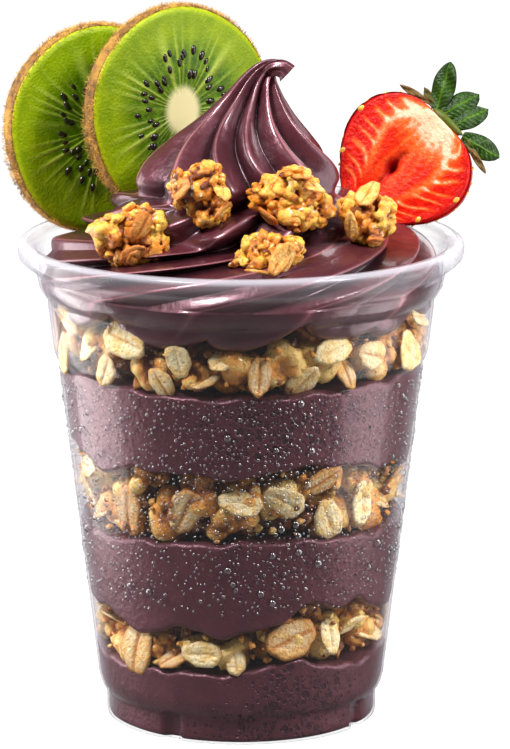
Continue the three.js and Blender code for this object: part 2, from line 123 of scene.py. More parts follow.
FAINT_FOLDS = (1, 0.25, 1, 1, 0.2, 1.1, 0.3, 1, 0.9, 0.25, 1)
LOBE_COLUMNS = 36
RING_ROWS = 12
WALL_ROWS = 26
SWIRL_UNDERSIDE = 0.0965
# The lobes of its lower edge at the wall: turn of the tip, height of the tip, reach in degrees.
WALL_LOBES = ((-86, 0.0906, 17), (-54.5, 0.0910, 17), (-17.7, 0.0896, 22), (7.2, 0.0897, 17),
              (41, 0.0911, 20), (58.7, 0.0902, 14), (95, 0.0905, 22), (130, 0.0912, 20),
              (163, 0.0898, 20), (-163, 0.0908, 19), (-125, 0.0899, 23))
BACK_CLEARANCE = 0.005

KIWI_THICKNESS = 0.005
HAIR_RADIUS = 0.00008
# Each slice's radius, centre and turns in degrees about X, Y and Z.
KIWIS = {
    "kiwi_slice_front": (0.0235, (-0.0142, 0.0172, 0.1324), (-2, 0, 35)),
    "kiwi_slice_back": (0.0231, (-0.0322, 0.0234, 0.1276), (-2, 0, 33)),
}

BERRY_LENGTH = 0.029
BERRY_RADIUS = 0.0158
BERRY_PLACE = (0.034, 0.006, 0.1216)
BERRY_TURNS = (-16, 43, -13)
SKIN_SET_BACK = 0.0006
CALYX_SET_BACK = 0.0024
CALYX_SEAT = BERRY_LENGTH / 2 + 0.0006
# Each leaf's place along the calyx, length, width, bend and fan in degrees, and dryness.
LEAVES = (
    (-0.0054, 0.0086, 0.0016, 10, -104, 0.9), (-0.0044, 0.0050, 0.0018, 10, -72, 0.5),
    (-0.0033, 0.0110, 0.0052, -6, -29, 0.0), (-0.0015, 0.0096, 0.0052, 16, 12, 0.0),
    (0.0020, 0.0092, 0.0046, 24, 14, 0.0), (0.0050, 0.0096, 0.0050, 20, 74, 0.0),
    (0.0064, 0.0084, 0.0016, 10, 104, 0.8))

# ---- small tools


def tint(red, green, blue):
    """A colour given as it looks on screen, 0 to 255, in the shader's linear values."""
    return (*(((c / 255 + 0.055) / 1.055) ** 2.4 if c > 10 else c / 255 / 12.92
              for c in (red, green, blue)), 1)


def smoothstep(value, low, high):
    share = np.clip((value - low) / (high - low), 0, 1)
    return share * share * (3 - 2 * share)


def fall(value, low, high):
    return 1 - smoothstep(value, low, high)


def bell(value, middle, width):
    return np.exp(-((value - middle) / width) ** 2)


def around(count):
    """Evenly spaced angles, once round."""
    return np.arange(count) * 2 * math.pi / count


def degrees_from(turn, middle):
    """How far a turn in radians is from a middle in degrees: -180 to 180."""
    return (np.degrees(turn) - middle + 180) % 360 - 180


def rounded(distance, radius):
    """How far a rounded edge of this radius is set in, at a distance from its end."""
    return radius * (1 - np.sqrt(1 - (1 - np.clip(distance / radius, 0, 1)) ** 2))


def spline(rows, share):
    """Smooth curve through evenly spaced rows, at a share from 0 to 1."""
    rows = np.asarray(rows, float)
    place = np.clip(share, 0, 1) * (len(rows) - 1)
    index = np.minimum(place.astype(int), len(rows) - 2)
    part = (place - index)[..., None]
    a, b, c, d = (rows[np.clip(index + step, 0, len(rows) - 1)] for step in (-1, 0, 1, 2))
    return 0.5 * (2 * b + (c - a) * part + (2 * a - 5 * b + 4 * c - d) * part ** 2
                  + (3 * b - a - 3 * c + d) * part ** 3)


def ripple(points, size, seed):
    """Smooth unevenness from -1 to 1 whose bumps are about this size."""
    rng = np.random.default_rng(seed)
    total = np.zeros(len(points))
    for _ in range(8):
        way = rng.normal(size=3)
        way *= 2 * math.pi / (size * rng.uniform(1.4, 3.2) * np.linalg.norm(way))
        total += np.sin(points @ way + rng.uniform(0, 2 * math.pi))
    return total / 8 ** 0.5 / 1.6


def on_turn(radius, turn, height):
    """Points at a radius, a turn in radians and a height."""
    radius, turn, height = np.broadcast_arrays(radius, turn, height)
    return np.stack((radius * np.sin(turn), -radius * np.cos(turn), height), -1)


def outside_radius(height):
    return np.interp(height, OUTSIDE[:, 1], OUTSIDE[:, 0])


def fill_radius(height):
    """How far out the contents reach: just into the wall."""
    return outside_radius(height) - WALL * 0.7


def level(edge, turn):
    """Height of a layer's edge at the wall; an edge without bumps is flat."""
    mean, bumps = edge
    height = np.full_like(turn, mean)
    if not bumps:
        return height
    for middle, rise, width in bumps:
        height += rise * bell(degrees_from(turn, middle), 0, width)
    return height + 0.00025 * np.sin(17 * turn + 1) + 0.0002 * np.sin(29 * turn + 2)


def grid_faces(rows, columns, closed=True):
    """Quads of a grid of points, joined round its columns when closed."""
    row, column = np.meshgrid(np.arange(rows - 1), np.arange(columns - (not closed)), indexing="ij")
    after = (column + 1) % columns
    corners = (row * columns + column, row * columns + after,
               (row + 1) * columns + after, (row + 1) * columns + column)
    return np.stack(corners, -1).reshape(-1, 4)


def build(name, points, faces, finish, marks=None, where=None):
    """A mesh object; marks are named numbers on its points for the material to read."""
    mesh = bpy.data.meshes.new(name)
    face_lists = faces if isinstance(faces, list) else faces.tolist()
    mesh.from_pydata(np.asarray(points).reshape(-1, 3).tolist(), [], face_lists)
    mesh.polygons.foreach_set("use_smooth", [True] * len(mesh.polygons))
    if where is not None:
        mesh.transform(where)
    for mark, values in (marks or {}).items():
        layer = mesh.attributes.new(mark, "FLOAT", "POINT")
        layer.data.foreach_set("value", np.asarray(values, float).ravel())
    mesh.materials.append(finish)
    mesh.update()
    piece = bpy.data.objects.new(name, mesh)
    bpy.context.scene.collection.objects.link(piece)
    return piece


def wrap(rings, name, finish, marks=None, where=None):
    """A skin from closed rings of points; a ring drawn to one point closes its end."""
    rings = np.array(rings)
    piece = build(name, rings, grid_faces(*rings.shape[:2]), finish, marks, where)
    joined = bmesh.new()
    joined.from_mesh(piece.data)
    bmesh.ops.remove_doubles(joined, verts=joined.verts, dist=1e-7)
    bmesh.ops.recalc_face_normals(joined, faces=joined.faces)
    joined.to_mesh(piece.data)
    joined.free()
    return piece


def place(piece, slot, *nodes):
    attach(piece, "root")
    if nodes:
        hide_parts(*nodes)


class Heap:
    """Many small meshes gathered into one; each is added with a value for every mark."""

    def __init__(self, *marks):
        self.points, self.faces, self.count = [], [], 0
        self.marks = {mark: [] for mark in marks or ("shade",)}

    def add(self, points, faces, *values):
        self.points.append(points)
        self.faces.extend((np.asarray(faces) + self.count).tolist())
        for gathered, value in zip(self.marks.values(), values or (0.0,)):
            gathered.append(np.broadcast_to(value, len(points)))
        self.count += len(points)

    def build(self, name, finish, where=None):
        marks = {mark: np.concatenate(values) for mark, values in self.marks.items()}
        return build(name, np.concatenate(self.points), self.faces, finish, marks, where)


def ball(detail):
    """Points and triangles of a unit icosphere."""
    made = bmesh.new()
    bmesh.ops.create_icosphere(made, subdivisions=detail, radius=1)
    points = np.array([v.co for v in made.verts])
    faces = np.array([[v.index for v in face.verts] for face in made.faces])
    made.free()
    return points, faces


BALLS = {detail: ball(detail) for detail in (1, 2, 3, 4)}


def turned(rng):
    """A random rotation."""
    axes, _ = np.linalg.qr(rng.normal(size=(3, 3)))
    return axes * np.sign(np.linalg.det(axes))


def rotation(angle, axis):
    return np.array(Matrix.Rotation(angle, 3, axis))


def pointing(way, axis="Z", up="Y"):
    """The rotation that points one axis this way."""
    return np.array(Vector(way).normalized().to_track_quat(axis, up).to_matrix())


def placed(centre, x, y, z):
    """A piece's placing: its centre, and its turns in degrees about Y, then X, then Z."""
    return (Matrix.Translation(centre) @ Matrix.Rotation(math.radians(z), 4, "Z")
            @ Matrix.Rotation(math.radians(x), 4, "X") @ Matrix.Rotation(math.radians(y), 4, "Y"))


# ---- materials


class Finish:
    """A node material: a Principled shader and helpers that add nodes before it."""

    def __init__(self, name, **values):
        self.material = bpy.data.materials.new(name)
        self.material.use_nodes = True
        self.tree = self.material.node_tree
        self.shader = self.tree.nodes["Principled BSDF"]
        self.colour = None
        for socket, value in values.items():
            self.shader.inputs[socket.replace("_", " ")].default_value = value

    def node(self, kind, inputs=None, **settings):
        made = self.tree.nodes.new("ShaderNode" + kind)
        for name, value in settings.items():
            setattr(made, name, value)
        for socket, value in (inputs or {}).items():
            self.join(value, made.inputs[socket])
        return made

    def join(self, value, socket):
        if isinstance(value, bpy.types.NodeSocket):
            self.tree.links.new(value, socket)
        else:
            socket.default_value = value

    def where(self):
        """The piece's own coordinates, in metres."""
        return self.node("TexCoord").outputs["Object"]

    def mark(self, name):
        return self.node("Attribute", attribute_name=name).outputs["Fac"]

    def edge_on(self):
        return self.node("LayerWeight", {"Blend": 0.5}).outputs["Facing"]

    def noise(self, size, detail=3.0, rough=0.55):
        return self.node("TexNoise", {"Vector": self.where(), "Scale": 1 / size,
                                      "Detail": detail, "Roughness": rough}).outputs["Fac"]

    def cells(self, size):
        """The distance from the nearest of many scattered points, in cell widths, and a colour
        of that point's own."""
        made = self.node("TexVoronoi", {"Vector": self.where(), "Scale": 1 / size})
        return made.outputs["Distance"], made.outputs["Color"]

    def math(self, operation, first, second=0.0, third=0.0):
        return self.node("Math", {0: first, 1: second, 2: third}, operation=operation).outputs[0]

    def times(self, first, second):
        return self.math("MULTIPLY", first, second)

    def fade(self, value, low, high, start=0.0, end=1.0):
        """value carried smoothly from the range low..high to start..end."""
        return self.node("MapRange", {"Value": value, "From Min": low, "From Max": high,
                                      "To Min": start, "To Max": end},
                         interpolation_type="SMOOTHSTEP").outputs["Result"]

    def mix(self, share, first, second):
        made = self.node("Mix", data_type="RGBA")
        for index, value in ((0, share), (6, first), (7, second)):
            self.join(value, made.inputs[index])
        return made.outputs[2]

    def patches(self, size, detail, low, high, first, second):
        """Two colours in patches of about this size."""
        return self.mix(self.fade(self.noise(size, detail), low, high), first, second)

    def paint(self, share, colour):
        """Another colour over what the material has, by a share from 0 to 1."""
        self.colour = self.mix(share, self.colour, colour)

    def bump(self, height, depth, before=None):
        inputs = {"Height": height, "Distance": depth, "Strength": 1.0}
        if before:
            inputs["Normal"] = before
        return self.node("Bump", inputs).outputs["Normal"]

    def grain(self, size, detail, depth, before=None, rough=0.55):
        """Relief in bumps of about this size."""
        return self.bump(self.noise(size, detail, rough), depth, before)

    def done(self, normal=None, roughness=None):
        for socket, value in (("Base Color", self.colour), ("Normal", normal),
                              ("Roughness", roughness)):
            if value is not None:
                self.join(value, self.shader.inputs[socket])
        return self.material

    def shining(self, under, edge_on, roughness, power, gain, least):
        """A see-through shader under a gloss that grows edge on, instead of the Principled one."""
        gloss = self.node("BsdfGlossy", {"Color": (1, 1, 1, 1), "Roughness": roughness})
        share = self.math("MULTIPLY_ADD", self.math("POWER", edge_on, power), gain, least)
        both = self.node("MixShader", {0: share, 1: under.outputs[0], 2: gloss.outputs[0]})
        self.join(both.outputs[0], self.tree.nodes["Material Output"].inputs["Surface"])
        return self.material


def clear_plastic():
    """A thin clear film: see-through face on and milky in the thick rim, with a whitish haze edge
    on that is a painted reflection of the white surroundings, and a painted highlight line under
    the rim's curl.
    """
    finish = Finish("clear_plastic", Roughness=0.04, IOR=1.46)
    edge_on = finish.edge_on()
    cloud = finish.fade(finish.noise(0.004), 0.2, 0.8, 0.8, 1.2)
    # Painted reflection: a whitish diffuse haze edge on stands in for the white surroundings
    # reflected there; the rim mark adds the thick rim's milkiness and a painted highlight line.
    milk_and_sheen = finish.times(finish.fade(edge_on, 0.60, 1.0, 0.003, 0.30), cloud)
    milk_and_sheen = finish.math("MAXIMUM", milk_and_sheen, finish.times(finish.mark("rim"), 0.40))
    colour = finish.mix(finish.fade(edge_on, 0.5, 1.0),
                        (0.99, 0.99, 0.99, 1), (0.80, 0.79, 0.82, 1))
    film = finish.node("BsdfTransparent", {"Color": colour})
    haze = finish.node("BsdfDiffuse", {"Color": tint(226, 222, 232)})
    body = finish.node("MixShader", {0: milk_and_sheen, 1: film.outputs[0], 2: haze.outputs[0]})
    return finish.shining(body, edge_on, 0.12, 5.0, 0.4, 0.013)


def drop_finish():
    """Clear water beads: darker round their edges, with a bright shine."""
    finish = Finish("water", Roughness=0.02, IOR=1.33)
    edge_on = finish.edge_on()
    depth = finish.times(finish.fade(edge_on, 0.04, 0.5),
                         finish.fade(finish.noise(0.01), 0.3, 0.7, 0.8, 1))
    colour = finish.mix(depth, (1, 1, 1, 1), (0.10, 0.07, 0.09, 1))
    film = finish.node("BsdfTransparent", {"Color": colour})
    return finish.shining(film, edge_on, 0.22, 3.0, 0.15, 0.15)


PINK_GLEAM = tint(255, 196, 212)


def acai_wall():
    """Acai pressed to the cup: matte and finely mottled, with small pits of air that are painted
    dark as the shade in them.
    """
    finish = Finish("acai_at_wall", Roughness=0.40, Specular_IOR_Level=1.0,
                    Specular_Tint=PINK_GLEAM)
    finish.colour = finish.patches(0.006, 4, 0.3, 0.7, tint(78, 38, 45), tint(62, 29, 35))
    airy = finish.mark("airy")
    pits = 0.0
    for size, least, most in ((0.0036, 0.10, 0.32), (0.0014, 0.10, 0.62), (0.0009, 0.0, 0.60)):
        distance, own_colour = finish.cells(size)
        chance = finish.node("SeparateColor", {0: own_colour}).outputs[0]
        reach = finish.times(finish.fade(airy, 0, 1, least, most),
                             finish.math("POWER", chance, 1.1))
        past = finish.math("SUBTRACT", distance, reach)
        pits = finish.math("MAXIMUM", pits, finish.fade(past, -0.03, 0.03, 1, 0))
    # Painted shade: the air pits are coloured near black for the shade inside them.
    finish.paint(finish.times(pits, 0.95), tint(26, 11, 15))
    relief = finish.math("SUBTRACT", finish.times(finish.noise(0.0016, 3), 0.5), pits)
    return finish.done(finish.bump(relief, 0.0005))


def acai_swirl_finish():
    """Soft-serve acai: satin plum, with painted shade down in the creases and a painted pink
    highlight along the ridges.
    """
    finish = Finish("acai_swirl_finish", Specular_IOR_Level=0.8, Specular_Tint=PINK_GLEAM,
                    Coat_Weight=0.4, Coat_Roughness=0.07)
    finish.colour = finish.patches(0.012, 3, 0.35, 0.65, tint(74, 29, 36), tint(58, 21, 28))
    # Painted shade in the creases, then a painted highlight line along the ridges.
    finish.paint(finish.mark("crease"), tint(24, 4, 8))
    finish.paint(finish.mark("crest_highlight"), tint(170, 108, 116))
    pits = finish.fade(finish.cells(0.0024)[0], 0.05, 0.10, 1, 0)
    normal = finish.bump(finish.math("SUBTRACT", 0.0, pits), 0.00015,
                         finish.grain(0.0018, 5, 0.00016))
    return finish.done(normal, finish.fade(finish.noise(0.003, 4), 0.3, 0.7, 0.30, 0.44))


def granola_finish(name, light, middle, dark, roughness):
    """Toasted lumps: golden and browner in patches, darker in their hollows as painted shade, with
    pale grains.
    """
    finish = Finish(name, Roughness=roughness, Specular_IOR_Level=0.5, Coat_Weight=0.35,
                    Coat_Roughness=0.15)
    # The shade mark holds each piece's own tone, painted shade in its hollows and, on one cluster,
    # a stain.
    shade = finish.math("ADD", finish.noise(0.0035, 4), finish.mark("shade"))
    finish.colour = light
    finish.paint(finish.fade(shade, 0.32, 0.62), middle)
    finish.paint(finish.fade(shade, 0.62, 0.95), dark)
    finish.paint(finish.fade(shade, 1.5, 1.8), tint(50, 22, 36))
    specks = finish.fade(finish.noise(0.0011, 5), 0.54, 0.70)
    finish.paint(finish.times(specks, 0.75), dark)
    grains = finish.fade(finish.cells(0.0019)[0], 0.20, 0.34, 1, 0)
    pale = finish.times(grains, finish.fade(finish.noise(0.0028, 2), 0.50, 0.58))
    finish.paint(finish.times(pale, 0.85), tint(250, 222, 168))
    knobs = finish.bump(finish.cells(0.0013)[0], 0.0003)
    rough = finish.grain(0.0010, 5, 0.0007, knobs, rough=0.7)
    return finish.done(finish.grain(0.0003, 3, 0.00012, rough))


def flake_finish(name, pale, cream, tan):
    """Rolled oats: pale, toasted in patches, at their edges and at random, with painted shade in
    their crease, darker between their ribs, and fine specks.
    """
    finish = Finish(name, Roughness=0.45, Specular_IOR_Level=0.4)
    finish.colour = finish.patches(0.0022, 4, 0.38, 0.62, pale, cream)
    finish.paint(finish.fade(finish.mark("shade"), 0.1, 1.0), tan)
    specks = finish.fade(finish.noise(0.0006, 4), 0.52, 0.70)
    finish.paint(finish.times(specks, 0.7), tan)
    return finish.done(finish.grain(0.0007, 5, 0.0005))


def patchy_finish(name, patches, first, second, relief=None, **values):
    """Two colours in patches, and a relief if its size, detail and depth are given."""
    finish = Finish(name, **values)
    finish.colour = finish.patches(*patches, first, second)
    return finish.done(relief and finish.grain(*relief))


def kiwi_flesh_finish():
    """Colours by distance from the slice's middle, with pale rays between the seeds."""
    finish = Finish("kiwi_flesh", Roughness=0.36, Specular_IOR_Level=0.22)
    share, ray, core = (finish.mark(name) for name in ("share", "ray", "core"))
    outer = finish.patches(0.005, 3, 0.3, 0.7, tint(116, 144, 0), tint(140, 162, 0))
    inner = finish.patches(0.002, 3, 0.3, 0.7, tint(58, 92, 0), tint(88, 124, 0))
    finish.colour = finish.mix(finish.fade(share, 0.50, 0.80), inner, outer)
    finish.paint(finish.times(ray, 0.75), tint(190, 204, 82))
    finish.paint(finish.fade(finish.noise(0.0007, 3), 0.58, 0.74, 0, 0.22), tint(196, 208, 84))
    finish.paint(finish.fade(share, 0.93, 0.985), tint(170, 184, 16))
    finish.paint(core, tint(232, 220, 164))
    fleshy = finish.math("SUBTRACT", 1.0, finish.times(core, 0.9))
    relief = finish.times(finish.noise(0.0006, 3), fleshy)
    return finish.done(finish.bump(relief, 0.0002, finish.bump(ray, 0.0002)))


def kiwi_rind_finish():
    finish = Finish("kiwi_rind", Roughness=0.8)
    finish.colour = finish.patches(0.0012, 4, 0.35, 0.65, tint(142, 98, 34), tint(86, 54, 16))
    finish.paint(finish.fade(finish.noise(0.006, 2), 0.45, 0.7), tint(180, 134, 48))
    return finish.done(finish.grain(0.0008, 4, 0.0006))


def berry_cut_finish():
    """Cut face: red, paler towards the calyx, with veins; the marks say how pale it is, where it is
    deeper red near the skin, and where shade is painted in the seed hollow and the slit.
    """
    finish = Finish("strawberry_cut", Roughness=0.3, Specular_IOR_Level=0.16, Coat_Weight=0.05,
                    Coat_Roughness=0.12)
    finish.colour = finish.patches(0.0018, 4, 0.35, 0.65, tint(218, 24, 0), tint(188, 8, 0))
    pale = finish.times(finish.mark("pale"),
                        finish.fade(finish.noise(0.0011, 4), 0.25, 0.75, 0.72, 1.2))
    finish.paint(finish.fade(pale, 0.05, 0.7), tint(236, 96, 34))
    finish.paint(finish.fade(pale, 0.55, 1.15), tint(236, 190, 156))
    # Painted shade in the seed hollow and the slit, and the deeper red of the flesh near the skin.
    finish.paint(finish.mark("deeper_red_and_shade"), tint(168, 16, 22))
    return finish.done(finish.grain(0.0009, 4, 0.0004))


def berry_skin_finish():
    finish = Finish("strawberry_skin", Roughness=0.24, Specular_IOR_Level=0.5, Coat_Weight=0.4,
                    Coat_Roughness=0.1)
    finish.colour = finish.patches(0.006, 3, 0.35, 0.65, tint(196, 14, 14), tint(160, 8, 16))
    # Painted shade in the dents where the seeds sit.
    finish.paint(finish.mark("pit_shade"), tint(120, 6, 14))
    return finish.done(finish.grain(0.0015, 3, 0.0002))


def leaf_finish():
    finish = Finish("leaf", Roughness=0.42, Specular_IOR_Level=0.25)
    vein = finish.mark("vein")
    finish.colour = finish.patches(0.003, 3, 0.35, 0.65, tint(14, 36, 0), tint(30, 58, 0))
    finish.paint(vein, tint(72, 112, 16))
    finish.paint(finish.mark("dry"), tint(104, 78, 40))
    return finish.done(finish.grain(0.0008, 3, 0.00015, finish.bump(vein, 0.0002)))


def floor_finish():
    finish = Finish("studio_floor", Roughness=0.9, Specular_IOR_Level=0.0, Alpha=0.15)
    finish.colour = finish.mix(finish.noise(0.4, 2), tint(252, 252, 252), tint(250, 250, 250))
    return finish.done()


# ---- cup


def notch_dent(turn, height):
    """How far the foot's wall is pushed in at its four notches."""
    away = np.min([np.abs(degrees_from(turn, middle)) for middle in NOTCH_TURNS], 0)
    across = np.radians(away) * FOOT_RADIUS
    return (NOTCH_DEPTH * fall(across, NOTCH_HALF_WIDTH * 0.55, NOTCH_HALF_WIDTH)
            * fall(height, NOTCH_TOP - 0.0006, NOTCH_TOP + 0.0004))


def refined(outline):
    """The outline with long straight runs split into shorter ones."""
    rows, longest = [outline[0]], 0.004
    for before, after in zip(outline, outline[1:]):
        parts = max(1, int(math.dist(before, after) / longest))
        rows += [tuple(np.add(before, np.subtract(after, before) * (i + 1) / parts))
                 for i in range(parts)]
    return rows


def make_cup():
    body = FOOT + TAPER + SHOULDER
    inside = [(radius - WALL, height) for radius, height in body if height > 0.0011]
    outline = [(0, 0.0001), (0.0262, 0.0001), (0.0275, 0.0), (0.0286, 0.0)]
    outline += refined(body) + list(RIM)
    outline += [(0.0449, 0.1050), (0.0445, 0.1030)] + refined(inside[::-1])
    outline += [(0.0289, 0.0010), (0, 0.0010)]
    outline = np.array(outline)
    turn = around(CUP_COLUMNS)
    dented = outline[:, :1] - notch_dent(turn[None], outline[:, 1:]) * (outline[:, :1] > 0.028)
    points = on_turn(np.maximum(dented, 1e-9), turn[None], outline[:, 1:])
    radius, height = outline.T
    lip = smoothstep(radius, 0.0474, 0.0482) * smoothstep(height, 0.1052, 0.1062)
    inner_lip = 0.8 * bell(radius, 0.0456, 0.0005) * smoothstep(height, 0.1054, 0.1060)
    # A painted highlight line along the lower edge of the rim's curl, carried in the rim mark.
    curl_highlight = 0.7 * bell(height, 0.1030, 0.0005) * smoothstep(radius, 0.0474, 0.0480)
    in_rim = 0.28 * smoothstep(radius, 0.0452, 0.0464) * smoothstep(height, 0.1012, 0.1020)
    marks = {"rim": np.repeat(np.max((lip, inner_lip, curl_highlight, in_rim), 0), CUP_COLUMNS)}
    place(wrap(points, "clear_cup", clear_plastic(), marks), "clear_plastic", "cup")


# ---- acai layers


def make_acai_layer(name, node, bottom, top, airy, finish):
    """A layer through the cup, level in the middle and uneven at the wall."""
    turn = around(300)
    side_rows, rounding = 34, 0.0009
    low, high = level(bottom, turn), level(top, turn)

    def cap(edge, height):
        """Rings from the middle out to the edge."""
        middle = edge[0]
        return [on_turn(np.maximum(fill_radius(height) * share, 1e-9), turn,
                        middle + (height - middle) * share ** 2)
                for share in (0, 0.3, 0.55, 0.75, 0.9)]

    rings = cap(bottom, low)
    for step in range(side_rows):
        height = low + (high - low) * (step / (side_rows - 1))
        inset = rounded(np.minimum(height - low, high - height), rounding)
        rings.append(on_turn(fill_radius(height) - inset - notch_dent(turn, height), turn, height))
    rings += cap(top, high)[::-1]
    heights = np.array(rings)[..., 2]
    marks = sum(amount * bell(degrees_from(turn, middle), 0, width) * bell(heights, at, tall)
                for middle, at, width, tall, amount in airy)
    place(wrap(rings, name, finish, {"airy": np.clip(marks, 0, 1)}), "acai", node)


# ---- granola


def nodule(rng, detail, bumps=13, spread=0.6, sizes=(0.3, 0.52)):
    """A lump of many small rounded grains, about 1 in radius: points, faces and hollows."""
    points, faces = BALLS[detail]
    centres = rng.normal(size=(bumps, 3))
    centres *= (spread * rng.uniform(0.75, 1.15, (bumps, 1))
                / np.linalg.norm(centres, axis=1, keepdims=True))
    radii = rng.uniform(*sizes, bumps)
    along = points @ centres.T
    inside = along ** 2 - (centres ** 2).sum(1) + radii ** 2
    reach = np.where(inside > 0, along + np.sqrt(np.maximum(inside, 0)), 0).max(1)
    reach = np.maximum(reach, 0.5) * (1 + 0.05 * ripple(points, 0.25, int(rng.integers(1e6))))
    hollow = fall(reach, 0.62, 0.95)
    return points * reach[:, None], faces, hollow


def oat(rng, length, width):
    """A rolled oat: a thin, slightly cupped oval with a crease along it."""
    spokes = 24
    angle = around(spokes)
    edge = (1 + 0.05 * np.sin(3 * angle + rng.uniform(0, 6))
            + 0.04 * np.sin(7 * angle + rng.uniform(0, 6)))
    cup = rng.uniform(-0.3, 0.3)
    twist = rng.uniform(-25, 25)
    layers, shades = [], []
    shares = np.linspace(0, 1, 8)
    for share, side in [(share, 1) for share in shares] + [(share, -1) for share in shares[-2::-1]]:
        x = length / 2 * share * edge * np.cos(angle)
        y = width / 2 * share * edge * np.sin(angle)
        crease = bell(y, 0, width * 0.055) * (1 - share ** 3)
        ribs = 0.5 + 0.5 * np.cos(y / width * 34 + 2 * np.sin(x / length * 5))
        half = OAT_THICKNESS / 2 * (math.sqrt(max(0, 1 - share ** 5)) - 0.75 * crease
                                    + 0.16 * ribs * (1 - share))
        layers.append(np.stack((x, y, side * half + cup * x ** 2 / length + twist * x * y), -1))
        # The oat's shade: painted shade in the crease, darker between the ribs, toasted tan towards
        # the edge.
        shades.append(0.55 * crease + 0.35 * share ** 4 + 0.16 * (1 - ribs))
    return np.concatenate(layers), grid_faces(len(layers), spokes), np.concatenate(shades)


def spots(rng, margin, gap, tries, sizes, span):
    """Scattered (place, size, turn) at the wall that keep clear of each other and the edges."""
    chosen = []
    taken = np.full((tries, 4), -1.0)
    for attempt in range(tries):
        size = rng.uniform(*sizes)
        turn = rng.uniform(-math.pi, math.pi)
        bottom, top = span(turn)
        if top - bottom <= size * 2 * margin:
            continue
        height = rng.uniform(bottom + size * margin, top - size * margin)
        here = on_turn(fill_radius(height), turn, height)
        if (np.linalg.norm(taken[:, :3] - here, axis=1) > gap * (size + taken[:, 3])).all():
            taken[attempt] = (*here, size)
            chosen.append((here, size, turn))
    return chosen


def wall_frame(turn):
    """Directions along the wall, up, and out of it."""
    return np.array([(math.cos(turn), math.sin(turn), 0), (0, 0, 1),
                     (math.sin(turn), -math.cos(turn), 0)])


def lay_lumps(heap, rng, found, detail, bumps, stretch, sunk, back, shade, hollow_shade):
    """Lumps at these spots. sunk is how many sizes a lump sinks behind the wall, or None to
    touch it, and back is the range of the distance it goes behind that."""
    for here, size, turn in found:
        points, faces, hollow = nodule(rng, detail, bumps)
        grown = size * rng.uniform(*stretch, 3) if stretch else size
        shaped = points * grown @ turned(rng).T
        outward = wall_frame(turn)[2]
        depth = size * sunk if sunk else (shaped @ outward).max()
        # Each lump's hollows are darkened here as painted shade.
        heap.add(shaped + here - outward * (depth + rng.uniform(*back)), faces,
                 rng.uniform(*shade) + hollow_shade * hollow)


def make_granola(layer, bottom, top, seed, lumps_finish, flakes_finish, core_finish):
    """Lumps, oats and crumbs against the wall, round a smaller core that is coloured dark as
    painted shade for the gaps between them.
    """
    rng = np.random.default_rng(seed)
    lumps, flakes, crumbs = Heap(), Heap(), Heap()

    def span(turn):
        at = np.array([turn])
        return bottom(at)[0] - 0.0004, top(at)[0] + 0.0004

    lay_lumps(lumps, rng, spots(rng, 0.75, 0.78, 900, (0.0036, 0.0076), span), 3, 13,
              (0.8, 1.15), None, (0, 0.0012), (-0.32, 0.04), 0.5)
    lay_lumps(lumps, rng, spots(rng, 0.6, 0.62, 700, (0.0028, 0.0046), span), 2, 13,
              None, 1.1, (0.0035, 0.0055), (0.1, 0.4), 0.3)
    for here, size, turn in spots(rng, 0.66, 0.78, 440, (0.0038, 0.0064), span):
        points, faces, shades = oat(rng, 2 * size, 2 * size * rng.uniform(0.58, 0.76))
        spin = rng.uniform(0, math.pi)
        tip = math.radians(rng.normal() * 38)
        outward = wall_frame(turn)[2]
        shaped = points @ (rotation(tip, "X") @ rotation(spin, "Z")).T @ wall_frame(turn)
        flakes.add(shaped + here - outward * (shaped @ outward).max(), faces,
                   rng.uniform(-0.3, 0.5) + shades)
    lay_lumps(crumbs, rng, spots(rng, 0.9, 0.9, 420, (0.0008, 0.0018), span), 1, 6,
              (0.7, 1.2), 1, (0, 0.003), (-0.3, 0.3), 0.3)
    place(lumps.build(f"granola_lumps_{layer}", lumps_finish), "granola")
    place(flakes.build(f"granola_flakes_{layer}", flakes_finish), "granola")
    place(crumbs.build(f"granola_crumbs_{layer}", lumps_finish), "granola")

    turn = around(120)
    low, high = bottom(turn), top(turn)
    core_gap = 0.0075
    rings = [on_turn(0, turn, low.mean())]
    for share in np.linspace(0, 1, 12):
        height = low + 0.0006 + (high - low - 0.0012) * share
        rings.append(on_turn(fill_radius(height) - core_gap, turn, height))
    rings.append(on_turn(0, turn, high.mean()))
    place(wrap(rings, f"granola_core_{layer}", core_finish), "granola", f"granola_{layer}")


